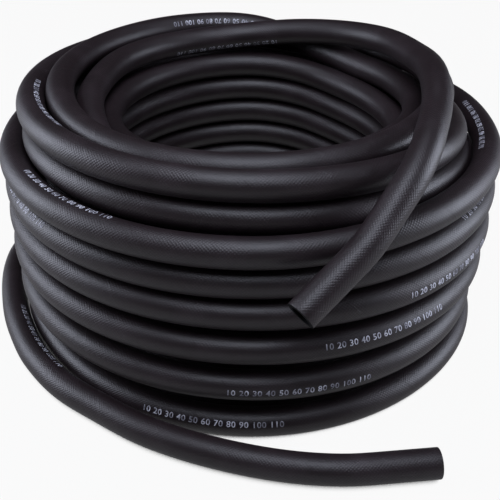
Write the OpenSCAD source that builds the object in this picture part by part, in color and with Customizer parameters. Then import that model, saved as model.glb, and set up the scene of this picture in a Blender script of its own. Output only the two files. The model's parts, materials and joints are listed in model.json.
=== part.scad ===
// Contractor-type rubber water hose, stored as one tall round coil.
//
// The whole hose is one length.  It leaves its lower cut end, runs round the coil
// on the floor, climbs the outer layer, crosses inwards over the crown, goes down
// the inner layer, climbs the middle layer, makes one last turn inside the crown
// and hangs over the front to its upper cut end.  Seen from above it always runs
// clockwise.  The wound and free runs are solid forms of the cover; the last few
// centimetres at each cut end are built layer by layer around the open bore.

/* [Bore and wall] */
// Bore of the hose
hose_id = 19; // [12:0.1:32]
// Thickness of the smooth rubber lining
lining_wall = 1.8; // [1:0.1:3]
// Thickness of each of the two layers of spiral-wound yarn
ply_wall = 0.6; // [0.3:0.05:1]
// Thickness of the cloth-wrapped cover
cover_wall = 1.8; // [1:0.1:3]

/* [Cut ends] */
// Length of hose that is built layer by layer at each cut end
end_run = 50; // [40:1:60]

/* [Hidden] */

$fn = 96;
cover_black = "#2b2a2d";
yarn_grey = "#8f8b80";
lining_black = "#1d1d1f";

// Radii of the layers, from the bore outwards
bore_r = hose_id / 2;
lining_r = bore_r + lining_wall;
inner_ply_r = lining_r + ply_wall;
outer_ply_r = inner_ply_r + ply_wall;
cover_r = outer_ply_r + cover_wall;
hose_od = 2 * cover_r;

// The wound form: rings in each loop and sides of the coiled run
rings_per_loop = 24;
coil_sides = 6;
// The free runs: sides, and spacing of the rings in hose diameters
free_sides = 10;
free_step = 2;

// Every place below is in hose diameters: [turns from the start, radius, height].
// The start is at the back (+Y) and the turns run clockwise seen from above.
outer_layer = [
    [0, 9.2, 0.5], [0.12, 8.7, 0.42], [0.25, 8.36, 0.4], [0.36, 8.2, 0.4], [0.5, 8.2, 0.4],
    [0.6, 8.1, 0.5], [0.66, 8.09, 0.54], [0.69, 8.18, 0.58], [0.72, 8.36, 0.72], [0.78, 8.66, 0.98],
    [0.88, 8.6, 1.25], [1, 8.4, 1.55], [1.25, 8.15, 1.85], [1.5, 8.4, 2.1], [2, 8.45, 2.95],
    [2.25, 8.4, 3.3], [2.5, 8.5, 3.6], [3, 8.55, 4.35], [3.25, 8.55, 4.65], [3.5, 8.5, 4.9],
    [4, 8.6, 5.6], [4.16, 8.64, 5.99], [4.25, 8.6, 6.05], [4.5, 8.5, 6.05], [4.75, 8.55, 6.3],
    [4.88, 8.72, 6.5], [5, 8.9, 6.8]];

// The crown: four loose turns that step inwards over the ends of the layers.
crown = [
    [5.06, 9.2, 7.1], [5.12, 9.22, 7.25], [5.18, 8.98, 7.35], [5.25, 8.68, 7.38],
    [5.38, 8.66, 7.28], [5.5, 8.7, 7.18], [5.75, 8.58, 7.45], [5.88, 8.5, 7.65], [6, 8.3, 7.68],
    [6.06, 8.22, 7.5], [6.12, 8.15, 7.25], [6.18, 7.9, 7.1], [6.25, 7.65, 7.06],
    [6.38, 7.64, 7.56], [6.5, 7.78, 7.82], [6.75, 7.7, 8.05], [6.88, 7.48, 7.95], [7, 7.22, 7.72],
    [7.06, 7.12, 7.55], [7.12, 7.15, 7.68], [7.18, 7.22, 7.97], [7.25, 7.25, 8.04],
    [7.38, 7.6, 8.6], [7.5, 7.75, 8.88], [7.75, 7.82, 9.08], [7.88, 7.8, 8.97], [8, 7.75, 8.72],
    [8.06, 7.58, 8.53], [8.12, 7.26, 8.76], [8.18, 7, 9.14], [8.25, 6.85, 9.2], [8.3, 6.72, 9.08],
    [8.34, 6.62, 9], [8.4, 6.63, 8.93], [8.5, 6.68, 8.92], [8.62, 6.72, 8.98],
    [8.7, 6.76, 9.18], [8.75, 6.81, 9.38], [8.88, 6.82, 9.5], [8.94, 6.82, 9.5], [9, 6.78, 9.37],
    [9.06, 6.57, 8.81], [9.12, 6.15, 8.5], [9.18, 6.1, 8.48], [9.25, 6.08, 8.44],
    [9.38, 5.65, 8.35], [9.5, 5.25, 8.2], [9.58, 5.08, 8.05], [9.66, 4.98, 7.86],
    [9.75, 5.25, 7.9], [9.88, 5.56, 8.02]];

// The inner layer goes down turn by turn, each turn lying in the waves of the one
// above it, then steps out along the floor.
inner_turn = [[0, 5.65, 8.08], [0.06, 5.6, 7.95], [0.12, 5.5, 7.7], [0.25, 5.6, 7.42],
              [0.5, 5.6, 7.14], [0.75, 5.6, 6.9], [0.88, 5.65, 6.95]];
inner_pitch = 1.03;
inner_growth = 0.05;
inner_layer = concat(
    [for (n = [0:4], k = inner_turn) [10 + n + k[0], k[1] + n * inner_growth, k[2] - n * inner_pitch]],
    [[15, 5.9, 2.9], [15.12, 5.8, 2.53], [15.25, 5.86, 2.24], [15.5, 5.9, 1.98],
     [15.75, 5.9, 1.75], [16, 5.95, 1.65], [16.25, 5.95, 1.2], [16.5, 5.97, 0.93],
     [16.75, 6, 0.65], [16.9, 6.15, 0.42], [17, 6.4, 0.4], [17.12, 6.7, 0.4],
     [17.25, 6.95, 0.4], [17.4, 7.05, 0.4], [17.75, 7.09, 0.4]]);

// The middle layer climbs at a steady rate and comes up inside the crown.
middle_layer = [
    [17.9, 7.25, 0.6], [18, 7.35, 0.92], [18.12, 7.25, 1.3], [18.25, 7.1, 1.45],
    [18.4, 7.2, 1.6], [18.75, 7.2, 2.1], [19.4, 7.2, 3],
    [21.5, 7.2, 6], [21.75, 7.15, 6.25], [22, 6.95, 6.45], [22.25, 6.64, 6.78],
    [22.38, 6.68, 7.17], [22.44, 6.66, 7.48], [22.5, 6.58, 7.7]];

lay = concat(outer_layer, crown, inner_layer, middle_layer);
loops = 22.5;

// The two free runs, in hose diameters: [x, y, height], from the cut end to the coil
// for the lower run and from the coil to the cut end for the upper one.
bottom_points = [
    [4.18, -10.47, 0.5], [2.1, -10.54, 0.5], [0.9, -10.37, 0.5], [-0.2, -10.1, 0.5],
    [-1.2, -9.78, 0.5], [-2.4, -9.3, 0.5], [-3.65, -8.65, 0.5], [-5.13, -7.57, 0.5],
    [-6.54, -6.44, 0.5], [-7.9, -4.68, 0.5], [-8.55, -3.4, 0.5], [-9.05, -2.25, 0.5],
    [-9.6, -0.4, 0.5], [-9.95, 1.4, 0.5], [-9.95, 3.2, 0.5], [-9.2, 5.4, 0.5],
    [-7.4, 7.4, 0.5], [-4.9, 8.75, 0.5], [-2.6, 9.2, 0.5]];
top_points = [
    [-3.06, -5.57, 7.96], [-4.21, -4.48, 8.1], [-5.03, -3.19, 8.36], [-5.53, -1.8, 8.65],
    [-5.74, -0.36, 8.9],
    [-5.19, 2.44, 9.1], [-4.02, 4.08, 9.17], [-2.07, 5.32, 9.19], [0, 5.7, 9.32],
    [2.07, 5.32, 9.57], [4.03, 4.38, 9.74], [5.36, 2.95, 9.87], [6.1, 0.4, 10.05],
    [6.2, -1.3, 10.25], [6.14, -2.6, 10.28], [6.05, -3.7, 10.07], [5.85, -4.6, 9.85],
    [5.58, -5.5, 9.77], [5.27, -6.5, 9.53], [4.68, -7.6, 8.97], [3.95, -8.4, 8.22], [2.64, -9.56, 7.06]];
// Directions in which the two cut ends point
top_end_axis = unit([-0.7, -0.48, -0.52]);
bottom_end_axis = unit([0.993, 0.115, 0]);

function unit(v) = v / norm(v);
function last(list) = list[len(list) - 1];
function polar(radius, azimuth, height) = [radius * cos(azimuth), radius * sin(azimuth), height];

// Smooth curve through hand-set places: item of table for a value of its first column
function slope(table, i, c) =
    let (a = max(0, i - 1), b = min(len(table) - 1, i + 1))
    (table[b][c] - table[a][c]) / (table[b][0] - table[a][0]);
function span_of(table, t, i = 0) =
    i >= len(table) - 2 || t < table[i + 1][0] ? i : span_of(table, t, i + 1);
function hermite(p, q, m, n, u) =
    (2*u*u*u - 3*u*u + 1) * p + (u*u*u - 2*u*u + u) * m
    + (3*u*u - 2*u*u*u) * q + (u*u*u - u*u) * n;
function along(table, t, c) =
    let (i = span_of(table, t), h = table[i + 1][0] - table[i][0], u = (t - table[i][0]) / h)
    hermite(table[i][c], table[i + 1][c], h * slope(table, i, c), h * slope(table, i + 1, c), u);

// Centre line of the coiled run, in millimetres, after t turns
function coil_at(t) = hose_od * polar(along(lay, t, 1), 90 - 360 * t, along(lay, t, 2));
small_turn = 0.002;
coil_start = coil_at(0);
coil_start_axis = unit(coil_at(small_turn) - coil_start);
coil_end = coil_at(loops);
coil_end_axis = unit(coil_end - coil_at(loops - small_turn));

// The wound run starts and ends with one straight hose diameter
coil_steps = floor(loops * rings_per_loop);
coil_line = concat(
    [coil_start, coil_start + hose_od * coil_start_axis],
    [for (i = [1:coil_steps - 2]) coil_at(i / rings_per_loop)],
    [coil_end - hose_od * coil_end_axis, coil_end]);

// A free run's centre line: a smooth curve through its points, ringed every free_step
function chord_table(points) =
    let (steps = [for (i = 0, s = 0; i < len(points);
                       s = s + norm(points[min(i + 1, len(points) - 1)] - points[i]), i = i + 1) s])
    [for (i = [0:len(points) - 1]) concat(steps[i], points[i])];
function smooth_line(points) =
    let (table = chord_table(points), run = last(table)[0],
         n = max(2, round(run / (free_step * hose_od))))
    [for (k = [0:n]) let (s = run * k / n) [for (c = [1:3]) along(table, s, c)]];

bottom_end_start = hose_od * bottom_points[0];
bottom_line = concat(
    [bottom_end_start],
    smooth_line(concat(
        [bottom_end_start - hose_od * bottom_end_axis],
        [for (i = [1:len(bottom_points) - 1]) hose_od * bottom_points[i]],
        [coil_start - hose_od * coil_start_axis])),
    [coil_start]);

top_end_start = hose_od * last(top_points);
top_line = concat(
    [coil_end],
    smooth_line(concat(
        [coil_end + hose_od * coil_end_axis],
        [for (i = [0:len(top_points) - 2]) hose_od * top_points[i]],
        [top_end_start - hose_od * top_end_axis])),
    [top_end_start]);

// Sweep of a many-sided section along a centre line, flat side up
function tangent(line, i) = unit(line[min(i + 1, len(line) - 1)] - line[max(i - 1, 0)]);
function ring(line, i, sides) =
    let (along_axis = tangent(line, i), side = unit(cross(along_axis, [0, 0, 1])),
         up = cross(side, along_axis))
    [for (k = [0:sides - 1])
        line[i] + cover_r * (cos(360 * k / sides) * side + sin(360 * k / sides) * up)];
module swept_hose(line, sides) {
    rings = len(line);
    points = [for (i = [0:rings - 1]) each ring(line, i, sides)];
    wall = [for (i = [0:rings - 2], k = [0:sides - 1])
        let (a = i * sides + k, b = i * sides + (k + 1) % sides, c = a + sides, d = b + sides)
        each [[a, b, d], [a, d, c]]];
    start_cap = [for (k = [1:sides - 2]) [0, k + 1, k]];
    first = (rings - 1) * sides;
    end_cap = [for (k = [1:sides - 2]) [first, first + k, first + k + 1]];
    polyhedron(points, concat(wall, start_cap, end_cap));
}

// Whole centre line from one built end to the other
whole_line = concat(bottom_line, [for (i = [1:len(coil_line) - 1]) coil_line[i]],
                    [for (i = [1:len(top_line) - 1]) top_line[i]]);
function total(list) = list * [for (v = list) 1];
hose_length = total([for (i = [1:len(whole_line) - 1]) norm(whole_line[i] - whole_line[i - 1])])
    + 2 * end_run;

// Least gap of the hose to itself: each ring's centre against every straight between rings
neighbour_rings = 6;
function to_straight(p, a, b) =
    let (run = b - a, part = min(1, max(0, (p - a) * run / (run * run))))
    norm(p - a - part * run);
least_gap = min([for (i = [0:len(whole_line) - 1], j = [0:len(whole_line) - 2])
    if (abs(i - j) > neighbour_rings) to_straight(whole_line[i], whole_line[j], whole_line[j + 1])])
    - hose_od;
echo(least_gap = least_gap, hose_length = hose_length);

// The part stands with the middle of its box over the origin
function middle(c) = let (v = [for (p = whole_line) p[c]]) (min(v) + max(v)) / 2;
box_middle = [middle(0), middle(1), 0];
module centred() { translate(-box_middle) children(); }

module hose_coil() {
    floor_size = 30 * hose_od;
    color(cover_black) centred()
        intersection() {
            swept_hose(coil_line, coil_sides);
            translate([-floor_size / 2, -floor_size / 2, 0]) cube(floor_size);
        }
}
// The bore goes on a little way into the solid run, so that what is pushed in as far as
// the end of the layered wall touches nothing behind it
module bottom_free_run() {
    bore_recess = 2;
    color(cover_black)
        difference() {
            centred() swept_hose(bottom_line, free_sides);
            on_bottom_end()
                cylinder(r = bore_r + lining_wall / 2, h = 2 * bore_recess, center = true);
        }
}
module top_free_run() { color(cover_black) centred() swept_hose(top_line, free_sides); }

// Places one layer of a cut end: a plain tube from the face of the free run outwards
module on_bottom_end() {
    centred() translate(bottom_end_start)
        rotate([0, 90, atan2(bottom_end_axis[1], bottom_end_axis[0])]) children();
}
module on_top_end() {
    centred() translate(top_end_start)
        rotate([0, acos(top_end_axis[2]), atan2(top_end_axis[1], top_end_axis[0])]) children();
}
module layer(inner_r, outer_r) {
    cut_margin = 1;
    difference() {
        cylinder(r = outer_r, h = end_run);
        translate([0, 0, -cut_margin]) cylinder(r = inner_r, h = end_run + 2 * cut_margin);
    }
}
module end_cover() { color(cover_black) layer(outer_ply_r, cover_r); }
module end_outer_ply() { color(yarn_grey) layer(inner_ply_r, outer_ply_r); }
module end_inner_ply() { color(yarn_grey) layer(lining_r, inner_ply_r); }
module end_lining() { color(lining_black) layer(bore_r, lining_r); }

hose_coil();
bottom_free_run();
top_free_run();
on_bottom_end() end_cover();  // bottom_end_cover
on_bottom_end() end_outer_ply();  // bottom_end_outer_ply
on_bottom_end() end_inner_ply();  // bottom_end_inner_ply
on_bottom_end() end_lining();  // bottom_end_lining
on_top_end() end_cover();  // top_end_cover
on_top_end() end_outer_ply();  // top_end_outer_ply
on_top_end() end_inner_ply();  // top_end_inner_ply
on_top_end() end_lining();  // top_end_lining
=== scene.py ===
"""Looks of a heavy rubber water hose that stands as one tall round coil.

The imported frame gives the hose's diameter, its bore, its two cut ends and the floor. The
hose's route is the one of the part's source, here in metres: it leaves its lower cut end,
runs round the coil on the floor, climbs the outer layer, crosses inwards over the crown,
goes down the inner layer, climbs the middle layer, makes one last turn inside the crown
and hangs over the front. Seen from above it always runs clockwise.
"""

import json
import logging
import math
from dataclasses import dataclass, field
from enum import Enum

import bmesh
import bpy
import numpy as np
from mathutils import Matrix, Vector


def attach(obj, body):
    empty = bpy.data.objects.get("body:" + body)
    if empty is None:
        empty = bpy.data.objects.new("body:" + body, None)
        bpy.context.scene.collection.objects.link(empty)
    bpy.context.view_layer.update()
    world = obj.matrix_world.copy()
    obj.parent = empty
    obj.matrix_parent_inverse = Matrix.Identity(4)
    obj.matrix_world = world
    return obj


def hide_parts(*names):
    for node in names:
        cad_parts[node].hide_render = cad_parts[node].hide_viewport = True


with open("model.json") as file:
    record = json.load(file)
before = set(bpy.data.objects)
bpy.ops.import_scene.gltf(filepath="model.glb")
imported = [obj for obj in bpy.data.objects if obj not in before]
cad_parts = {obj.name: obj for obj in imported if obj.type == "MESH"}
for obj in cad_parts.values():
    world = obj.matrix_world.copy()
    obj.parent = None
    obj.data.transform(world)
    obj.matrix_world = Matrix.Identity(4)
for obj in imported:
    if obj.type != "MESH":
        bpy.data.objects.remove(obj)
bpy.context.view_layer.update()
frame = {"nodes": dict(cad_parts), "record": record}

log = logging.getLogger("hose")

MM = 0.001


# ------------------------------------------------------------------ sizes from the frame


def mount(name: str) -> dict:
    """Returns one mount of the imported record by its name."""
    return next(m for m in frame["record"]["mounts"] if m["name"] == name)


@dataclass(frozen=True)
class CutEnd:
    """One bare cut end of the hose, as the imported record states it.

    Attributes:
        name: "bottom" or "top", the first word of the end's nodes and mounts.
    """

    name: str

    @property
    def axis(self) -> np.ndarray:
        """Direction in which the cut end points."""
        axis = np.array(mount(f"{self.name}_outside")["axis"])
        return axis / np.linalg.norm(axis)

    @property
    def run(self) -> float:
        """Length of hose that the CAD model builds layer by layer."""
        return mount(f"{self.name}_outside")["dims"]["length_mm"] * MM

    @property
    def face(self) -> np.ndarray:
        """Middle of the cut face."""
        return np.array(mount(f"{self.name}_outside")["pos_m"]) + self.axis * self.run / 2

    @property
    def root(self) -> np.ndarray:
        """Where the layered end begins."""
        return self.face - self.axis * self.run


BOTTOM_END = CutEnd("bottom")
TOP_END = CutEnd("top")
RADIUS = mount("bottom_outside")["dims"]["r_mm"] * MM
BORE_RADIUS = mount("bottom_bore")["dims"]["r_mm"] * MM
DIAMETER = 2 * RADIUS
COVER_WALL = 1.8 * MM  # as in the part's source
END_RUN = BOTTOM_END.run  # the same at both ends
AROUND = 2 * math.pi * RADIUS


# ------------------------------------------------------------------ the hose's route

# Places on the coil, in hose diameters: (turns from the start, radius, height). The start
# is at the back (+Y).
OUTER_LAYER = [
    (0, 9.2, 0.5), (0.12, 8.7, 0.42), (0.25, 8.36, 0.4), (0.36, 8.2, 0.4), (0.5, 8.2, 0.4),
    (0.6, 8.1, 0.5), (0.66, 8.09, 0.54), (0.69, 8.18, 0.58), (0.72, 8.36, 0.72), (0.78, 8.66, 0.98),
    (0.88, 8.6, 1.25), (1, 8.4, 1.55), (1.25, 8.15, 1.85), (1.5, 8.4, 2.1), (2, 8.45, 2.95),
    (2.25, 8.4, 3.3), (2.5, 8.5, 3.6), (3, 8.55, 4.35), (3.25, 8.55, 4.65), (3.5, 8.5, 4.9),
    (4, 8.6, 5.6), (4.16, 8.64, 5.99), (4.25, 8.6, 6.05), (4.5, 8.5, 6.05), (4.75, 8.55, 6.3),
    (4.88, 8.72, 6.5), (5, 8.9, 6.8),
]
CROWN = [
    (5.06, 9.2, 7.1), (5.12, 9.22, 7.25), (5.18, 8.98, 7.35), (5.25, 8.68, 7.38),
    (5.38, 8.66, 7.28), (5.5, 8.7, 7.18), (5.75, 8.58, 7.45), (5.88, 8.5, 7.65),
    (6, 8.3, 7.68), (6.06, 8.22, 7.5), (6.12, 8.15, 7.25), (6.18, 7.9, 7.1),
    (6.25, 7.65, 7.06), (6.38, 7.64, 7.56), (6.5, 7.78, 7.82), (6.75, 7.7, 8.05),
    (6.88, 7.48, 7.95), (7, 7.22, 7.72), (7.06, 7.12, 7.55), (7.12, 7.15, 7.68),
    (7.18, 7.22, 7.97), (7.25, 7.25, 8.04), (7.38, 7.6, 8.6), (7.5, 7.75, 8.88),
    (7.75, 7.82, 9.08), (7.88, 7.8, 8.97), (8, 7.75, 8.72), (8.06, 7.58, 8.53),
    (8.12, 7.26, 8.76), (8.18, 7, 9.14), (8.25, 6.85, 9.2), (8.3, 6.72, 9.08),
    (8.34, 6.62, 9), (8.4, 6.63, 8.93), (8.5, 6.68, 8.92), (8.62, 6.72, 8.98),
    (8.7, 6.76, 9.18), (8.75, 6.81, 9.38), (8.88, 6.82, 9.5), (8.94, 6.82, 9.5),
    (9, 6.78, 9.37), (9.06, 6.57, 8.81), (9.12, 6.15, 8.5), (9.18, 6.1, 8.48),
    (9.25, 6.08, 8.44), (9.38, 5.65, 8.35), (9.5, 5.25, 8.2), (9.58, 5.08, 8.05),
    (9.66, 4.98, 7.86), (9.75, 5.25, 7.9), (9.88, 5.56, 8.02),
]
# One turn of the inner layer. Each turn lies in the waves of the one above it.
INNER_TURN = [
    (0, 5.65, 8.08), (0.06, 5.6, 7.95), (0.12, 5.5, 7.7), (0.25, 5.6, 7.42),
    (0.5, 5.6, 7.14), (0.75, 5.6, 6.9), (0.88, 5.65, 6.95),
]
INNER_FIRST_TURN = 10
INNER_TURNS = 5
INNER_PITCH = 1.03  # how far each turn lies below the one before
INNER_GROWTH = 0.05  # how much wider it is
INNER_FOOT = [
    (15, 5.9, 2.9), (15.12, 5.8, 2.53), (15.25, 5.86, 2.24), (15.5, 5.9, 1.98),
    (15.75, 5.9, 1.75), (16, 5.95, 1.65), (16.25, 5.95, 1.2), (16.5, 5.97, 0.93),
    (16.75, 6, 0.65), (16.9, 6.15, 0.42), (17, 6.4, 0.4), (17.12, 6.7, 0.4),
    (17.25, 6.95, 0.4), (17.4, 7.05, 0.4), (17.75, 7.09, 0.4),
]
MIDDLE_LAYER = [
    (17.9, 7.25, 0.6), (18, 7.35, 0.92), (18.12, 7.25, 1.3), (18.25, 7.1, 1.45),
    (18.4, 7.2, 1.6), (18.75, 7.2, 2.1), (19.4, 7.2, 3), (21.5, 7.2, 6),
    (21.75, 7.15, 6.25), (22, 6.95, 6.45), (22.25, 6.64, 6.78), (22.38, 6.68, 7.17),
    (22.44, 6.66, 7.48), (22.5, 6.58, 7.7),
]
# Turns at which one stretch of the wound run ends and the next begins
OUTER_TOP = 5
CROWN_END = 10
INNER_END = 16.9
COIL_END = 22.5

# The two free runs, in hose diameters from the coil's axis: (x, y, height)
BOTTOM_POINTS = [
    (4.18, -10.47, 0.5), (2.1, -10.54, 0.5), (0.9, -10.37, 0.5), (-0.2, -10.1, 0.5),
    (-1.2, -9.78, 0.5), (-2.4, -9.3, 0.5), (-3.65, -8.65, 0.5), (-5.13, -7.57, 0.5),
    (-6.54, -6.44, 0.5),
    (-7.9, -4.68, 0.5), (-8.55, -3.4, 0.5), (-9.05, -2.25, 0.5), (-9.6, -0.4, 0.5),
    (-9.95, 1.4, 0.5), (-9.95, 3.2, 0.5), (-9.2, 5.4, 0.5), (-7.4, 7.4, 0.5),
    (-4.9, 8.75, 0.5), (-2.6, 9.2, 0.5),
]
TOP_POINTS = [
    (-3.06, -5.57, 7.96), (-4.21, -4.48, 8.1), (-5.03, -3.19, 8.36), (-5.53, -1.8, 8.65),
    (-5.74, -0.36, 8.9), (-5.19, 2.44, 9.1), (-4.02, 4.08, 9.17), (-2.07, 5.32, 9.19),
    (0, 5.7, 9.32), (2.07, 5.32, 9.57), (4.03, 4.38, 9.74), (5.36, 2.95, 9.87),
    (6.1, 0.4, 10.05), (6.2, -1.3, 10.25), (6.14, -2.6, 10.28), (6.05, -3.7, 10.07),
    (5.85, -4.6, 9.85), (5.58, -5.5, 9.77), (5.27, -6.5, 9.53), (4.68, -7.6, 8.97),
    (3.95, -8.4, 8.22), (2.64, -9.56, 7.06),
]


def inner_layer() -> list[tuple[float, float, float]]:
    """Lays out the inner layer, which goes down turn by turn.

    Returns:
        Its places, from the crown down to the foot of the middle layer.
    """
    places = [
        (INNER_FIRST_TURN + n + turn, radius + n * INNER_GROWTH, height - n * INNER_PITCH)
        for n in range(INNER_TURNS)
        for turn, radius, height in INNER_TURN
    ]
    return places + INNER_FOOT


def read_curve(table: np.ndarray, at: np.ndarray) -> np.ndarray:
    """Reads the smooth curve through given places.

    Args:
        table: One place a row. The first column rises, and the others are read.
        at: Values of the first column.

    Returns:
        The other columns at those values.
    """
    first, rest = table[:, 0], table[:, 1:]
    before = np.maximum(np.arange(len(table)) - 1, 0)
    after = np.minimum(np.arange(len(table)) + 1, len(table) - 1)
    slope = (rest[after] - rest[before]) / (first[after] - first[before])[:, None]
    i = np.clip(np.searchsorted(first, at, side="right") - 1, 0, len(table) - 2)
    span = (first[i + 1] - first[i])[:, None]
    u = (at - first[i])[:, None] / span
    return (
        (2 * u**3 - 3 * u**2 + 1) * rest[i]
        + (u**3 - 2 * u**2 + u) * span * slope[i]
        + (3 * u**2 - 2 * u**3) * rest[i + 1]
        + (u**3 - u**2) * span * slope[i + 1]
    )


def arc_length(line: np.ndarray) -> np.ndarray:
    """Returns how far along the line each of its points is."""
    steps = np.linalg.norm(np.diff(line, axis=0), axis=1)
    return np.concatenate([[0.0], np.cumsum(steps)])


def unit(v: np.ndarray) -> np.ndarray:
    """Returns vectors scaled to length 1."""
    return v / np.linalg.norm(v, axis=-1, keepdims=True)


@dataclass
class Route:
    """The whole centre line of the hose, in metres in the shared frame.

    Attributes:
        step: Distance between its points.
        easing: How far the line's small kinks are smoothed out.
        joining: Length at each end of the coil that is left to the easing, in hose diameters.
        readings: Points read on each turn of the coil.
        axis: Where the coil's axis meets the floor.
        line: The points of the centre line.
        at: How far along the hose each of them is.
        turns: The turn of the coil at each of them.
        wound: Whether each of them is on the coil.
    """

    step: float = 4 * MM
    easing: float = 11 * MM
    joining: float = 0.75
    readings: int = 360
    axis: np.ndarray = field(init=False)
    line: np.ndarray = field(init=False)
    at: np.ndarray = field(init=False)
    turns: np.ndarray = field(init=False)
    wound: np.ndarray = field(init=False)

    def __post_init__(self) -> None:
        """Lays the whole line and eases it."""
        # The lower end's root in the frame, less its given place, is the coil's axis
        root = np.array([*BOTTOM_POINTS[0][:2], 0]) * DIAMETER
        self.axis = BOTTOM_END.root * [1, 1, 0] - root
        turns, coil = self._coil()
        start, end = coil[0], coil[-1]
        bottom = self._free([
            BOTTOM_END.root - DIAMETER * BOTTOM_END.axis,
            *self._placed(BOTTOM_POINTS[1:]),
            start - DIAMETER * unit(coil[1] - start),
        ])
        top = self._free([
            end + DIAMETER * unit(end - coil[-2]),
            *self._placed(TOP_POINTS[:-1]),
            TOP_END.root - DIAMETER * TOP_END.axis,
        ])
        along = arc_length(coil)
        joining = self.joining * DIAMETER
        kept = (along > joining) & (along < along[-1] - joining)
        whole = np.vstack(
            [[BOTTOM_END.face], bottom, [start], coil[kept], [end], top, [TOP_END.face]]
        )
        before = np.full(len(bottom) + 1, np.nan)
        after = np.full(len(top) + 1, np.nan)
        self._ease(whole, np.concatenate([before, [0], turns[kept], [COIL_END], after]))

    def _coil(self) -> tuple[np.ndarray, np.ndarray]:
        """Winds the coil, clockwise from the back.

        Returns:
            The turn at each of its points, and the points.
        """
        turns = np.append(np.arange(0, COIL_END, 1 / self.readings), COIL_END)
        places = np.array(OUTER_LAYER + CROWN + inner_layer() + MIDDLE_LAYER)
        radius, height = read_curve(places, turns).T * DIAMETER
        azimuth = np.pi / 2 - 2 * np.pi * turns
        points = np.stack([radius * np.cos(azimuth), radius * np.sin(azimuth), height], axis=1)
        return turns, points + self.axis

    def _placed(self, points: list[tuple[float, float, float]]) -> list[np.ndarray]:
        """Returns points that are given in hose diameters from the coil's axis, in the frame."""
        return [np.array(p) * DIAMETER + self.axis for p in points]

    def _free(self, points: list[np.ndarray]) -> np.ndarray:
        """Lays a free run.

        Args:
            points: The points that it passes through, in the frame.

        Returns:
            The smooth line through them.
        """
        places = np.array(points)
        table = np.column_stack([arc_length(places), places])
        return read_curve(table, np.arange(0, table[-1, 0], self.step))

    def _ease(self, whole: np.ndarray, turns: np.ndarray) -> None:
        """Spaces the line evenly, smooths it and keeps both ends where they are.

        Args:
            whole: The line as it is laid.
            turns: The turn of the coil at each of its points, or NaN on the free runs.
        """
        along = arc_length(whole)
        count = round(along[-1] / self.step)
        at = np.linspace(0, along[-1], count + 1)
        line = np.stack([np.interp(at, along, whole[:, k]) for k in range(3)], axis=1)
        # The smoothing bell is cut off at three times its width
        reach = round(3 * self.easing / self.step)
        weights = np.exp(-0.5 * (np.arange(-reach, reach + 1) * self.step / self.easing) ** 2)
        weights /= weights.sum()
        before = 2 * line[0] - line[reach:0:-1]
        after = 2 * line[-1] - line[-2:-reach - 2:-1]
        padded = np.vstack([before, line, after])
        self.line = np.stack(
            [np.convolve(padded[:, k], weights, mode="valid") for k in range(3)], axis=1
        )
        self.at = arc_length(self.line)
        coiled = ~np.isnan(turns)
        self.turns = np.interp(at, along[coiled], turns[coiled])
        self.wound = (at >= along[coiled][0]) & (at <= along[coiled][-1])

    def length(self) -> float:
        """Returns the hose's length from cut to cut."""
        return float(self.at[-1])

    def at_turn(self, turn: float) -> float:
        """Returns how far along the hose a turn of the coil is."""
        i = np.flatnonzero(self.wound)
        return float(np.interp(turn, self.turns[i], self.at[i]))

    def point(self, at: np.ndarray) -> np.ndarray:
        """Returns the centre line's points that far along the hose."""
        return np.stack([np.interp(at, self.at, self.line[:, k]) for k in range(3)], axis=-1)

    def frame_at(self, at: np.ndarray) -> tuple[np.ndarray, np.ndarray, np.ndarray]:
        """Finds how the hose lies at places along it.

        Args:
            at: The places, in metres along the hose.

        Returns:
            The line's points there, and the directions to its right and its upper side.
        """
        near = 2 * self.step
        ahead = np.minimum(at + near, self.at[-1])
        behind = np.maximum(at - near, 0)
        direction = unit(self.point(ahead) - self.point(behind))
        side = unit(np.cross(direction, [0, 0, 1]))
        return self.point(at), side, np.cross(side, direction)


ROUTE = Route()


# ------------------------------------------------------------------ finishes


def linear(hex_colour: str) -> tuple[float, float, float, float]:
    """Turns an sRGB colour to linear values.

    Args:
        hex_colour: The colour, such as "#8090a0".

    Returns:
        Its red, green and blue as linear values, and full alpha.
    """
    found = []
    for i in (1, 3, 5):
        value = int(hex_colour[i:i + 2], 16) / 255
        found.append(value / 12.92 if value <= 0.04045 else ((value + 0.055) / 1.055) ** 2.4)
    return (*found, 1.0)


def add_node(
    tree: bpy.types.NodeTree,
    kind: str,
    inputs: dict[str | int, object] | None = None,
    **settings: object,
) -> bpy.types.Node:
    """Adds a shader node with its settings and links.

    Args:
        tree: The material's node tree.
        kind: Blender's name of the node type.
        inputs: What each input holds: a plain value, another node's output, or another node,
            which stands for its first output.
        **settings: The node's own properties.

    Returns:
        The new node.
    """
    node = tree.nodes.new(kind)
    for name, value in settings.items():
        setattr(node, name, value)
    for name, value in (inputs or {}).items():
        source = value.outputs[0] if isinstance(value, bpy.types.Node) else value
        if isinstance(source, bpy.types.NodeSocket):
            tree.links.new(source, node.inputs[name])
        else:
            node.inputs[name].default_value = source
    return node


def new_tree(name: str) -> tuple[bpy.types.Material, bpy.types.NodeTree]:
    """Makes a new material without nodes.

    Args:
        name: The material's name.

    Returns:
        The material and its empty node tree.
    """
    material = bpy.data.materials.new(name)
    material.use_nodes = True
    material.node_tree.nodes.clear()
    return material, material.node_tree


STRAIGHT = "straightened"  # attribute: each point's place on the hose laid out straight


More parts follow.
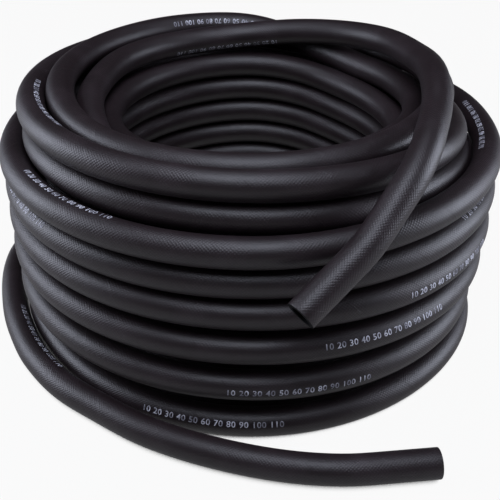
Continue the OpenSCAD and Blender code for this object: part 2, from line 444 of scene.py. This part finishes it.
@dataclass(frozen=True)
class WrappedRubber:
    """Black SBR cover, cured in a tight wrapping of nylon cloth, which is then taken off.

    The cloth leaves its weave pressed into the rubber, so the cover is matt with a soft
    wide gleam that breaks up over the weave, whose crests are rubbed a little smoother and
    greyer than the hollows. The wrapping is a strip wound round the hose, and its edge
    leaves a faint spiral.

    Attributes:
        name: The material's name.
        hollow: Colour down between the crests.
        crest: Colour of the rubbed crests.
        scuff: Colour towards which the scuffed patches go.
        thread: Spacing of the cloth's crests. Real ones are about 1 mm apart; they are
            drawn coarser, or they wouldn't show at all.
        wander: How far the threads drift, in radians of their spacing.
        strip: Width of the wrapping strip along the hose.
        edge: Share of the strip over which its edge shows.
        patch: Size of the patches in which the weave's depth and the scuffs come and go.
        grain: Size of the rubber's own grain.
        relief: Height of the pressed pattern.
        roughness: Roughness about half way up the crests.
    """

    name: str = "cloth_wrapped_rubber_cover"
    hollow: str = "#120b0d"
    crest: str = "#271c1f"
    scuff: str = "#362c30"
    thread: float = 3.2 * MM
    wander: float = 6.0
    strip: float = 70 * MM
    edge: float = 0.06
    patch: float = 45 * MM
    grain: float = 2.6 * MM
    relief: float = 0.13 * MM
    roughness: float = 0.42

    def material(self) -> bpy.types.Material:
        """Builds the cover's material.

        Returns:
            The new material.
        """
        material, tree = new_tree(self.name)
        straight = add_node(tree, "ShaderNodeAttribute", attribute_name=STRAIGHT)
        patches = add_node(
            tree, "ShaderNodeTexNoise",
            {"Vector": straight.outputs["Vector"], "Scale": 1 / self.patch, "Detail": 3.0,
             "Roughness": 0.55},
        )
        pressed, seam = self.pattern(tree, straight, patches)
        climb = {"Value": pressed, "From Min": 0.0, "From Max": 1.7}  # from hollow to crest
        rubbed = add_node(tree, "ShaderNodeMapRange", climb)
        tone = add_node(
            tree, "ShaderNodeMix",
            {0: rubbed, 6: linear(self.hollow), 7: linear(self.crest)}, data_type="RGBA",
        )
        scuffed = add_node(
            tree, "ShaderNodeMapRange",
            {"Value": patches, "From Min": 0.45, "From Max": 0.8, "To Max": 0.5},
        )
        worn = add_node(
            tree, "ShaderNodeMix",
            {0: scuffed, 6: tone.outputs[2], 7: linear(self.scuff)}, data_type="RGBA",
        )
        rough = add_node(
            tree, "ShaderNodeMapRange",
            {**climb, "To Min": self.roughness + 0.1, "To Max": self.roughness - 0.06},
        )
        height = add_node(
            tree, "ShaderNodeMath", {0: seam, 1: 1.2, 2: pressed}, operation="MULTIPLY_ADD"
        )
        bump = add_node(
            tree, "ShaderNodeBump", {"Height": height, "Strength": 0.75, "Distance": self.relief}
        )
        shader = add_node(
            tree, "ShaderNodeBsdfPrincipled",
            {"Base Color": worn.outputs[2], "Roughness": rough, "Normal": bump, "IOR": 1.52},
        )
        add_node(tree, "ShaderNodeOutputMaterial", {"Surface": shader})
        return material

    def pattern(
        self, tree: bpy.types.NodeTree, straight: bpy.types.Node, patches: bpy.types.Node
    ) -> tuple[bpy.types.Node, bpy.types.Node]:
        """Presses the weave and the strip's edge into the rubber.

        Args:
            tree: The material's node tree.
            straight: The node that gives the place on the straightened hose.
            patches: The node that gives the patches.

        Returns:
            The nodes that give the weave with the grain, and the edge of the strip.
        """
        uv = add_node(tree, "ShaderNodeUVMap", uv_map="UVMap")
        along, around = add_node(tree, "ShaderNodeSeparateXYZ", {0: uv}).outputs[:2]
        drift = add_node(
            tree, "ShaderNodeMath", {0: patches, 1: self.wander}, operation="MULTIPLY"
        )
        # The map is in metres along and in whole turns around, so a whole number of threads
        # goes round the hose and the pattern closes.
        full = 2 * math.pi
        threads = []
        for place, pace in (
            (along, full / self.thread), (around, full * round(AROUND / self.thread))
        ):
            phase = add_node(
                tree, "ShaderNodeMath", {0: place, 1: pace, 2: drift}, operation="MULTIPLY_ADD"
            )
            threads.append(add_node(tree, "ShaderNodeMath", {0: phase}, operation="SINE"))
        weave = add_node(
            tree, "ShaderNodeMath", dict(enumerate(threads)), operation="MULTIPLY"
        )
        depth = add_node(
            tree, "ShaderNodeMapRange",
            {"Value": patches, "From Min": 0.35, "From Max": 0.65, "To Min": 0.3, "To Max": 1.0},
        )
        pressed_weave = add_node(
            tree, "ShaderNodeMath", {0: weave, 1: depth}, operation="MULTIPLY"
        )
        grain = add_node(
            tree, "ShaderNodeTexNoise",
            {"Vector": straight.outputs["Vector"], "Scale": 1 / self.grain, "Detail": 2.0,
             "Roughness": 0.6},
        )
        pressed = add_node(
            tree, "ShaderNodeMath", {0: grain, 1: 1.6, 2: pressed_weave},
            operation="MULTIPLY_ADD",
        )
        spiral = add_node(
            tree, "ShaderNodeMath", {0: along, 1: 1 / self.strip, 2: around},
            operation="MULTIPLY_ADD",
        )
        across_strip = add_node(tree, "ShaderNodeMath", {0: spiral}, operation="FRACT")
        seam = add_node(
            tree, "ShaderNodeMapRange",
            {"Value": across_strip, "From Min": 0.0, "From Max": self.edge, "To Min": 1.0,
             "To Max": 0.0},
            interpolation_type="SMOOTHSTEP",
        )
        return pressed, seam


@dataclass(frozen=True)
class SmoothRubber:
    """Black NBR lining, extruded on a mandrel: dull, only faintly uneven, and darkened as painted
    shade.

    Attributes:
        name: The material's name.
        base: Its darker colour, near black as painted shade on the cut faces and in the bore.
        light: Its lighter colour, also darkened as painted shade.
        unevenness: Size of its unevenness.
        relief: Height of its unevenness.
        roughness: Its roughness. Cut rubber is quite dull.
    """

    name: str = "extruded_rubber_lining_painted_shade"
    # Painted shade: both colours are darker than the rubber's own black, so the cut faces and the
    # bore look shaded.
    base: str = "#050506"
    light: str = "#0c0b0d"
    unevenness: float = 3 * MM
    relief: float = 0.1 * MM
    roughness: float = 0.85

    def material(self) -> bpy.types.Material:
        """Builds the lining's material.

        Returns:
            The new material.
        """
        material, tree = new_tree(self.name)
        place = add_node(tree, "ShaderNodeTexCoord")
        noise = add_node(
            tree, "ShaderNodeTexNoise",
            {"Vector": place.outputs["Object"], "Scale": 1 / self.unevenness, "Detail": 3.0},
        )
        tone = add_node(
            tree, "ShaderNodeMix",
            {0: noise, 6: linear(self.base), 7: linear(self.light)}, data_type="RGBA",
        )
        bump = add_node(
            tree, "ShaderNodeBump", {"Height": noise, "Strength": 0.25, "Distance": self.relief}
        )
        shader = add_node(
            tree, "ShaderNodeBsdfPrincipled",
            {"Base Color": tone.outputs[2], "Roughness": self.roughness,
             "Specular IOR Level": 0.12, "Normal": bump},
        )
        add_node(tree, "ShaderNodeOutputMaterial", {"Surface": shader})
        return material


@dataclass(frozen=True)
class SpiralYarn:
    """Polyester yarn wound in a spiral and soaked in rubber: seen end-on as grey specks, painted
    darker as shade.

    Attributes:
        name: The material's name.
        rubber: Colour of the rubber between the yarns, near black as painted shade.
        yarn: Colour of the cut yarns, darker than their own grey as painted shade.
        yarn_width: Width of one yarn.
        relief: How far the cut yarns stand out.
        roughness: Roughness of both.
    """

    name: str = "rubbered_polyester_yarn"
    # Painted shade: both colours are darker than the ply's own, so the cut faces look shaded.
    rubber: str = "#080808"
    yarn: str = "#191716"
    yarn_width: float = 0.9 * MM
    relief: float = 0.1 * MM
    roughness: float = 0.8

    def material(self) -> bpy.types.Material:
        """Builds the yarn ply's material.

        Returns:
            The new material.
        """
        material, tree = new_tree(self.name)
        place = add_node(tree, "ShaderNodeTexCoord")
        cells = add_node(
            tree, "ShaderNodeTexVoronoi",
            {"Vector": place.outputs["Object"], "Scale": 1 / self.yarn_width},
        )
        inside = add_node(
            tree, "ShaderNodeMapRange",
            {"Value": cells.outputs["Distance"], "From Min": 0.2, "From Max": 0.55,
             "To Min": 1.0, "To Max": 0.0},
        )
        tone = add_node(
            tree, "ShaderNodeMix",
            {0: inside, 6: linear(self.rubber), 7: linear(self.yarn)}, data_type="RGBA",
        )
        bump = add_node(
            tree, "ShaderNodeBump", {"Height": inside, "Strength": 0.4, "Distance": self.relief}
        )
        shader = add_node(
            tree, "ShaderNodeBsdfPrincipled",
            {"Base Color": tone.outputs[2], "Roughness": self.roughness,
             "Specular IOR Level": 0.2, "Normal": bump},
        )
        add_node(tree, "ShaderNodeOutputMaterial", {"Surface": shader})
        return material


@dataclass(frozen=True)
class PrintInk:
    """White transfer print, pressed into the weave, so it is thin and broken up.

    Attributes:
        name: The material's name.
        ink: Its colour where it is whole.
        thin: Its colour where it is rubbed thin.
        patch: Size of the patches in which it is thin or whole.
        roughness: Its roughness.
    """

    name: str = "white_transfer_print"
    ink: str = "#dedee8"
    thin: str = "#86858e"
    patch: float = 9 * MM
    roughness: float = 0.6

    def material(self) -> bpy.types.Material:
        """Builds the ink's material.

        Returns:
            The new material.
        """
        material, tree = new_tree(self.name)
        place = add_node(tree, "ShaderNodeTexCoord")
        patches = add_node(
            tree, "ShaderNodeTexNoise",
            {"Vector": place.outputs["Object"], "Scale": 1 / self.patch, "Detail": 4.0},
        )
        amount = add_node(
            tree, "ShaderNodeMapRange", {"Value": patches, "From Min": 0.4, "From Max": 0.6}
        )
        tone = add_node(
            tree, "ShaderNodeMix",
            {0: amount, 6: linear(self.thin), 7: linear(self.ink)}, data_type="RGBA",
        )
        shader = add_node(
            tree, "ShaderNodeBsdfPrincipled",
            {"Base Color": tone.outputs[2], "Roughness": self.roughness},
        )
        add_node(tree, "ShaderNodeOutputMaterial", {"Surface": shader})
        return material


class Finish(Enum):
    """The finishes of the hose's pieces."""

    COVER = WrappedRubber()
    LINING = SmoothRubber()
    YARN = SpiralYarn()
    PRINT = PrintInk()

    def get(self) -> bpy.types.Material:
        """Returns the finish's material, made the first time that it is asked for."""
        return bpy.data.materials.get(self.value.name) or self.value.material()


# ------------------------------------------------------------------ the hose


class Closing(Enum):
    """How a stretch of hose ends."""

    JOINT = "flat, where the next stretch goes on"
    CUT = "cut square, with an open bore"


@dataclass
class HoseStretch:
    """One stretch of the hose's round outside.

    Attributes:
        name: The piece's name.
        start: Where it starts, in metres along the hose.
        end: Where it ends.
        replaces: The CAD nodes that it stands for.
        first: How its first end looks.
        last: How its last end looks.
        lay: How it lies. It is not used.
        sides: Points round the hose.
        ring_step: Distance between its rings.
        bore_depth: How far into the hose the bore behind a cut end is modelled.
        corner: Radius of the rubbed edge of a cut end.
        corner_rings: Rings that round that edge.
    """

    name: str
    start: float
    end: float
    replaces: tuple[str, ...]
    first: Closing = Closing.JOINT
    last: Closing = Closing.JOINT
    lay: str = "coiled"
    sides: int = 40
    ring_step: float = 8 * MM
    bore_depth: float = 0.25
    corner: float = 0.5 * MM
    corner_rings: int = 5

    def stations(self) -> np.ndarray:
        """Returns how far along the hose its rings are."""
        count = round((self.end - self.start) / self.ring_step)
        return np.linspace(self.start, self.end, count + 1)

    def rings(self, spots: np.ndarray) -> np.ndarray:
        """Lays rings round the hose's centre line.

        Args:
            spots: Place along the hose and radius of each ring.

        Returns:
            The rings' points.
        """
        middle, side, up = ROUTE.frame_at(spots[:, 0])
        angle = 2 * np.pi * np.arange(self.sides) / self.sides
        spoke = (
            np.cos(angle)[None, :, None] * side[:, None]
            + np.sin(angle)[None, :, None] * up[:, None]
        )
        points = middle[:, None] + spots[:, 1, None, None] * spoke
        # Nothing goes below the floor: the hose's underside is flattened there
        points[..., 2] = np.maximum(points[..., 2], 0)
        return points

    def build(self, numbers: "NumberPrint") -> bpy.types.Object:
        """Args:
            numbers: The print that goes onto the hose.

        Returns:
            The stretch's piece.
        """
        at = self.stations()
        profile = [(s, RADIUS) for s in at]
        if self.first is Closing.CUT:
            profile = self.cut_profile(self.start, 1) + profile[1:]
        if self.last is Closing.CUT:
            profile = profile[:-1] + self.cut_profile(self.end, -1)[::-1]
        piece = self.mesh(np.array(profile))
        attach(piece, "root")
        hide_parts(*self.replaces)
        numbers.onto(self.name, self.start, self.end)
        log.info("%s: %.2f m, %d rings", self.name, self.end - self.start, len(profile))
        return piece

    def cut_profile(self, cut: float, inwards: int) -> list[tuple[float, float]]:
        """Draws a cut end, from inside the bore out over the cut.

        Args:
            cut: Where the cut is along the hose.
            inwards: 1 if the hose goes on at higher places, and -1 if at lower ones.

        Returns:
            Place along the hose and radius of each ring.
        """
        seat = RADIUS - COVER_WALL
        deep = cut + inwards * self.bore_depth
        root = cut + inwards * END_RUN
        count = round((self.bore_depth - END_RUN) / self.ring_step)
        bore = [(float(s), BORE_RADIUS) for s in np.linspace(deep, root, count + 1)]
        round_over = [
            (
                cut + inwards * self.corner * (1 - math.sin(a)),
                RADIUS - self.corner * (1 - math.cos(a)),
            )
            for a in np.linspace(math.pi / 2, 0, self.corner_rings)
        ]
        return [(deep, 0.0), *bore, (root, seat), (cut, seat), *round_over]

    def mesh(self, spots: np.ndarray) -> bpy.types.Object:
        """Makes the mesh of the rings, with its map and straightened places.

        Args:
            spots: Place along the hose and radius of each ring.

        Returns:
            The new object.
        """
        points = self.rings(spots)
        rings, sides = points.shape[:2]
        rows = np.arange(rings - 1)[:, None] * sides
        here = np.arange(sides)[None]
        ahead = (here + 1) % sides
        quads = np.stack([rows + here, rows + ahead, rows + sides + ahead, rows + sides + here], -1)
        faces = quads.reshape(-1, 4)[:, ::-1].tolist()
        faces.append(list(range(sides)))
        faces.append(list(range((rings - 1) * sides, rings * sides))[::-1])
        data = bpy.data.meshes.new(self.name)
        data.from_pydata(points.reshape(-1, 3).tolist(), [], faces)
        angle = 2 * np.pi * np.arange(sides) / sides
        straight = np.zeros((rings, sides, 3))
        straight[..., 0] = spots[:, :1]
        straight[..., 1] = spots[:, 1:] * np.cos(angle)
        straight[..., 2] = spots[:, 1:] * np.sin(angle)
        places = data.attributes.new(STRAIGHT, "FLOAT_VECTOR", "POINT")
        places.data.foreach_set("vector", straight.ravel())
        self.map_onto(data, spots)
        for finish in (Finish.COVER, Finish.LINING):
            data.materials.append(finish.get())
        # Only a cut end has rings well inside the cover's surface. They take the lining's finish,
        # as dull and as dark: painted shade on the cut face and in the bore.
        within = spots[:, 1] < RADIUS - self.corner / 2
        cut = np.repeat((within[:-1] | within[1:]).astype(int), sides)
        data.polygons.foreach_set("material_index", np.append(cut, [0, 0]))
        piece = bpy.data.objects.new(self.name, data)
        bpy.context.scene.collection.objects.link(piece)
        tidy_surface(piece)
        return piece

    def map_onto(self, data: bpy.types.Mesh, spots: np.ndarray) -> None:
        """Maps metres along the hose and turns around it.

        Args:
            data: The mesh of the rings.
            spots: Place along the hose and radius of each ring.
        """
        layer = data.uv_layers.new(name="UVMap")
        corners = np.empty(len(data.loops), int)
        data.loops.foreach_get("vertex_index", corners)
        ring, side = np.divmod(corners, self.sides)
        around = side / self.sides
        starts = np.empty(len(data.polygons), int)
        totals = np.empty(len(data.polygons), int)
        data.polygons.foreach_get("loop_start", starts)
        data.polygons.foreach_get("loop_total", totals)
        face = np.repeat(np.arange(len(starts)), totals)
        far = np.zeros(len(starts))
        np.maximum.at(far, face, around)
        near = np.ones(len(starts))
        np.minimum.at(near, face, around)
        # The quads that close the round run on past one whole turn
        wraps = (far - near > 0.5) & (totals == 4)
        around = np.where(wraps[face] & (around < 0.5), around + 1, around)
        layer.data.foreach_set("uv", np.column_stack([spots[ring, 0], around]).ravel())


def tidy_surface(
    piece: bpy.types.Object, sharp: float = math.radians(40), merge: float = 1e-6
) -> None:
    """Merges doubled points, points the faces outwards and smooths the round ones.

    Args:
        piece: The piece.
        sharp: The angle from which an edge stays sharp.
        merge: The distance below which points are one.
    """
    mesh = bmesh.new()
    mesh.from_mesh(piece.data)
    bmesh.ops.remove_doubles(mesh, verts=mesh.verts, dist=merge)
    bmesh.ops.recalc_face_normals(mesh, faces=mesh.faces)
    mesh.to_mesh(piece.data)
    mesh.free()
    bpy.ops.object.select_all(action="DESELECT")
    piece.select_set(True)
    bpy.context.view_layer.objects.active = piece
    bpy.ops.object.shade_smooth_by_angle(angle=sharp)
    piece.select_set(False)


@dataclass(frozen=True)
class Legend:
    """One row of plain numbers printed along the hose, which reads against its run.

    Attributes:
        along: Where its middle is, in metres along the hose.
        angle: Degrees round the hose: 0 is its inner side, 90 its top and 180 its outer side.
    """

    along: float
    angle: float


# Up the outer layer the print comes again about every 1.4 m. Rows inside the coil's wall
# are left out.
LEGENDS = (
    Legend(0.470, 58), Legend(1.854, 154), Legend(3.269, 176), Legend(4.700, 156),
    Legend(6.150, 172), Legend(7.610, 112), Legend(8.172, 133), Legend(9.090, 60),
    Legend(9.660, 82), Legend(12.565, 60), Legend(14.195, 32), Legend(30.035, 325),
)


@dataclass
class NumberPrint:
    """Prints rows of plain numbers onto stretches of the hose.

    Attributes:
        words: The numbers in one row.
        size: Size of the type, whose figures are about 0.73 of it high.
        tracking: Spacing of the figures.
        weight: How much their strokes are thickened.
        curve_steps: Straight pieces in each curve of a figure's outline.
        film: Thickness of the ink.
        proud: How far the ink's face stands above the cover.
        band: Height of the bands that the figures are cut into, to follow the hose's round.
        bands: Number of bands above the row's middle, and below it.
        merge: The distance below which points are one.
        points: The points of one row, laid out flat with its middle at the origin.
        faces: The row's faces, as numbers of its points.
    """

    words: str = "10 20 30 40 50 60 70 80 90 100 110"
    size: float = 8.2 * MM
    tracking: float = 1.08
    weight: float = 0.07 * MM
    curve_steps: int = 3
    film: float = 0.14 * MM
    proud: float = 0.08 * MM
    band: float = 1.0 * MM
    bands: int = 4
    merge: float = 1e-7
    points: np.ndarray = field(init=False)
    faces: list[tuple[int, ...]] = field(init=False)

    def __post_init__(self) -> None:
        """Makes the flat row."""
        bpy.ops.object.select_all(action="DESELECT")
        bpy.ops.object.text_add()
        row = bpy.context.active_object
        row.data.body = self.words
        row.data.size = self.size
        row.data.space_character = self.tracking
        row.data.offset = self.weight
        row.data.extrude = self.film / 2
        row.data.resolution_u = self.curve_steps
        bpy.ops.object.convert(target="MESH")
        row = bpy.context.active_object
        mesh = bmesh.new()
        mesh.from_mesh(row.data)
        bmesh.ops.remove_doubles(mesh, verts=mesh.verts, dist=self.merge)
        middle = sum((v.co for v in mesh.verts), Vector()) / len(mesh.verts)
        bmesh.ops.translate(mesh, verts=mesh.verts, vec=-middle)
        for place in np.arange(-self.bands, self.bands + 1) * self.band:
            bmesh.ops.bisect_plane(
                mesh, geom=[*mesh.verts, *mesh.edges, *mesh.faces],
                plane_co=(0, place, 0), plane_no=(0, 1, 0), dist=self.merge,
            )
        bmesh.ops.recalc_face_normals(mesh, faces=mesh.faces)
        self.points = np.array([v.co for v in mesh.verts])
        self.faces = [tuple(v.index for v in face.verts) for face in mesh.faces]
        mesh.free()
        bpy.data.objects.remove(row)

    def wrap(self, legend: Legend) -> np.ndarray:
        """Wraps the flat row onto the hose.

        Args:
            legend: Where it goes.

        Returns:
            The row's points.
        """
        middle, side, up = ROUTE.frame_at(legend.along - self.points[:, 0])
        angle = math.radians(legend.angle) - self.points[:, 1] / RADIUS
        radius = RADIUS + self.proud - self.film / 2 + self.points[:, 2]
        spoke = np.cos(angle)[:, None] * side + np.sin(angle)[:, None] * up
        return middle + radius[:, None] * spoke

    def onto(self, name: str, start: float, end: float) -> list[bpy.types.Object]:
        """Prints the rows of one stretch.

        Args:
            name: The stretch's name.
            start: Where it starts, in metres along the hose.
            end: Where it ends.

        Returns:
            The printed piece, or nothing where the stretch bears no print.
        """
        legends = [legend for legend in LEGENDS if start < legend.along < end]
        if not legends:
            return []
        points = np.vstack([self.wrap(legend) for legend in legends])
        faces = [
            tuple(i + n * len(self.points) for i in face)
            for n in range(len(legends))
            for face in self.faces
        ]
        data = bpy.data.meshes.new(f"{name}_print")
        data.from_pydata(points.tolist(), [], faces)
        data.materials.append(Finish.PRINT.get())
        piece = bpy.data.objects.new(data.name, data)
        bpy.context.scene.collection.objects.link(piece)
        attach(piece, "root")
        log.info("%s: %d rows", piece.name, len(legends))
        return [piece]


@dataclass
class Hose:
    """The whole hose: its stretches and the layers at its cut ends.

    Attributes:
        layers: The layers inside the cover of a cut end, as the CAD's nodes name them.
    """

    layers: tuple[tuple[str, Finish], ...] = (
        ("lining", Finish.LINING), ("inner_ply", Finish.YARN), ("outer_ply", Finish.YARN),
    )

    def build(self) -> None:
        """Builds every stretch in order and dresses the layered ends."""
        turns = (0, OUTER_TOP, CROWN_END, INNER_END, COIL_END)
        start, outer_top, crown_end, inner_end, end = (ROUTE.at_turn(turn) for turn in turns)
        stretches = [
            HoseStretch("lower_free_run", 0, start, ("bottom_free_run", "bottom_end_cover"),
                        first=Closing.CUT, lay="loose"),
            HoseStretch("outer_layer", start, outer_top, ("hose_coil",)),
            HoseStretch("crown_turns", outer_top, crown_end, ("hose_coil",)),
            HoseStretch("inner_layer", crown_end, inner_end, ("hose_coil",)),
            HoseStretch("middle_layer", inner_end, end, ("hose_coil",)),
            HoseStretch("upper_free_run", end, ROUTE.length(), ("top_free_run", "top_end_cover"),
                        last=Closing.CUT, lay="loose"),
        ]
        numbers = NumberPrint()
        for stretch in stretches:
            stretch.build(numbers)
        for cut_end in (BOTTOM_END, TOP_END):
            for layer, finish in self.layers:
                self.dress(f"{cut_end.name}_end_{layer}", finish)

    def dress(self, node: str, finish: Finish) -> None:
        """Gives a CAD node its finish.

        Args:
            node: The node's name.
            finish: The finish.
        """
        slots = frame["nodes"][node].data.materials
        slots.clear()
        slots.append(finish.get())
        log.info("%s: %s", node, finish.value.name)


# ------------------------------------------------------------------ studio


@dataclass(frozen=True)
class Softbox:
    """A square lamp that faces the coil.

    Attributes:
        name: The lamp's name.
        across: Degrees to the right of the front.
        up: Degrees above the floor.
        power: Its power in watts.
        size: Its side in metres.
        colour: The colour of its light.
    """

    name: str
    across: float
    up: float
    power: float
    size: float = 0.9
    colour: str = "#e8eeff"

    def hang(self, distance: float, aim: float) -> None:
        """Hangs the lamp.

        Args:
            distance: How far it is from the coil's middle, in metres.
            aim: The height at which it points.
        """
        data = bpy.data.lights.new(self.name, "AREA")
        data.shape = "SQUARE"
        data.size = self.size
        data.energy = self.power
        data.color = linear(self.colour)[:3]
        lamp = bpy.data.objects.new(self.name, data)
        bpy.context.scene.collection.objects.link(lamp)
        across, up = math.radians(self.across), math.radians(self.up)
        level = math.cos(up)
        away = Vector((math.sin(across) * level, -math.cos(across) * level, math.sin(up)))
        lamp.location = away * distance + Vector((0, 0, aim))
        lamp.rotation_euler = away.to_track_quat("Z", "Y").to_euler()


@dataclass
class Studio:
    """Plain pale floor, soft light and the camera.

    Attributes:
        eye: The camera's place, in hose diameters from the coil's axis.
        target: What it looks at, likewise.
        focal: Focal length in picture widths.
        sensor: Width of the camera's sensor in millimetres.
        clip: The nearest and the farthest that the camera sees, in metres.
        floor_size: Side of the floor in metres.
        floor_colour: The floor's own colour.
        seen_glow: Share of plain white in the floor as the camera sees it.
        mirrored_glow: Share of plain white in the floor's gleam on the hose.
        slit_reach: How far round a place on the floor counts for how open it is.
        lamp_distance: How far the lamps are from the coil's middle, in metres.
        lamp_aim: The height at which they point.
        lamps: The lamps.
    """

    eye: tuple[float, float, float] = (0.0, -31.08, 20.33)
    target: tuple[float, float, float] = (0.0, 0.0, 2.23)
    focal: float = 1.7891
    sensor: float = 36.0
    clip: tuple[float, float] = (0.01, 50.0)
    floor_size: float = 12.0
    floor_colour: str = "#98989b"
    seen_glow: float = 0.94
    mirrored_glow: float = 0.32
    slit_reach: float = 60 * MM
    lamp_distance: float = 1.4
    lamp_aim: float = 0.12
    lamps: tuple[Softbox, ...] = (
        Softbox("front_softbox", 0, 64, 12.5),
        Softbox("overhead_softbox", 0, 92, 3),
        Softbox("left_softbox", -90, 30, 8),
        Softbox("low_left_softbox", -100, 12, 9),
        Softbox("right_softbox", 92, 14, 15),
    )

    def camera(self) -> None:
        """Places the camera at the object's viewing angle."""
        eye = Vector(np.array(self.eye) * DIAMETER + ROUTE.axis)
        target = Vector(np.array(self.target) * DIAMETER + ROUTE.axis)
        data = bpy.data.cameras.new("camera")
        data.sensor_width = self.sensor
        data.lens = self.sensor * self.focal
        data.clip_start, data.clip_end = self.clip
        camera = bpy.data.objects.new("camera", data)
        bpy.context.scene.collection.objects.link(camera)
        camera.location = eye
        camera.rotation_euler = (target - eye).to_track_quat("-Z", "Y").to_euler()
        bpy.context.scene.camera = camera

    def floor(self) -> None:
        """Lays the pale floor, which the camera sees nearly white under a soft shadow."""
        bpy.ops.object.select_all(action="DESELECT")
        bpy.ops.mesh.primitive_plane_add(size=self.floor_size, location=(0, 0, 0))
        floor = bpy.context.active_object
        floor.name = "studio_floor"
        material, tree = new_tree("matt_white_paper_sweep")
        paint = add_node(
            tree, "ShaderNodeBsdfDiffuse", {"Color": linear(self.floor_colour), "Roughness": 0.5}
        )
        glow = add_node(tree, "ShaderNodeEmission", {"Color": (1, 1, 1, 1), "Strength": 1.0})
        sight = add_node(tree, "ShaderNodeLightPath")
        # Down in a slit between two stretches of hose the floor keeps its own dark shade
        openness = add_node(
            tree, "ShaderNodeAmbientOcclusion", {"Distance": self.slit_reach}, samples=8
        )
        clear = add_node(
            tree, "ShaderNodeMapRange",
            {"Value": openness.outputs["AO"], "From Min": 0.1, "From Max": 0.3,
             "To Min": 0.0, "To Max": self.seen_glow},
        )
        seen = add_node(
            tree, "ShaderNodeMath", {0: sight.outputs["Is Camera Ray"], 1: clear},
            operation="MULTIPLY",
        )
        share = add_node(
            tree, "ShaderNodeMath",
            {0: sight.outputs["Is Glossy Ray"], 1: self.mirrored_glow, 2: seen},
            operation="MULTIPLY_ADD",
        )
        mix = add_node(tree, "ShaderNodeMixShader", {0: share, 1: paint, 2: glow})
        add_node(tree, "ShaderNodeOutputMaterial", {"Surface": mix})
        floor.data.materials.append(material)

    def world(self) -> None:
        """Sets the surroundings: plain white to the camera, and very dim as a light."""
        world = bpy.data.worlds.new("white_studio")
        bpy.context.scene.world = world
        world.use_nodes = True
        tree = world.node_tree
        tree.nodes.clear()
        sight = add_node(tree, "ShaderNodeLightPath")
        strength = add_node(
            tree, "ShaderNodeMapRange",
            {"Value": sight.outputs["Is Camera Ray"], "To Min": 0.02, "To Max": 1.0},
        )
        background = add_node(
            tree, "ShaderNodeBackground", {"Color": (1, 1, 1, 1), "Strength": strength}
        )
        add_node(tree, "ShaderNodeOutputWorld", {"Surface": background})
        bpy.context.scene.view_settings.view_transform = "Standard"

    def build(self) -> None:
        """Sets up everything round the hose."""
        self.floor()
        self.world()
        for lamp in self.lamps:
            lamp.hang(self.lamp_distance, self.lamp_aim)


def main() -> None:
    """Builds the camera, the hose and the studio."""
    logging.basicConfig(level=logging.INFO, format="%(message)s")
    studio = Studio()
    studio.camera()
    Hose().build()
    studio.build()
    log.info("hose length %.2f m", ROUTE.length())


if __name__ == "__main__":
    main()
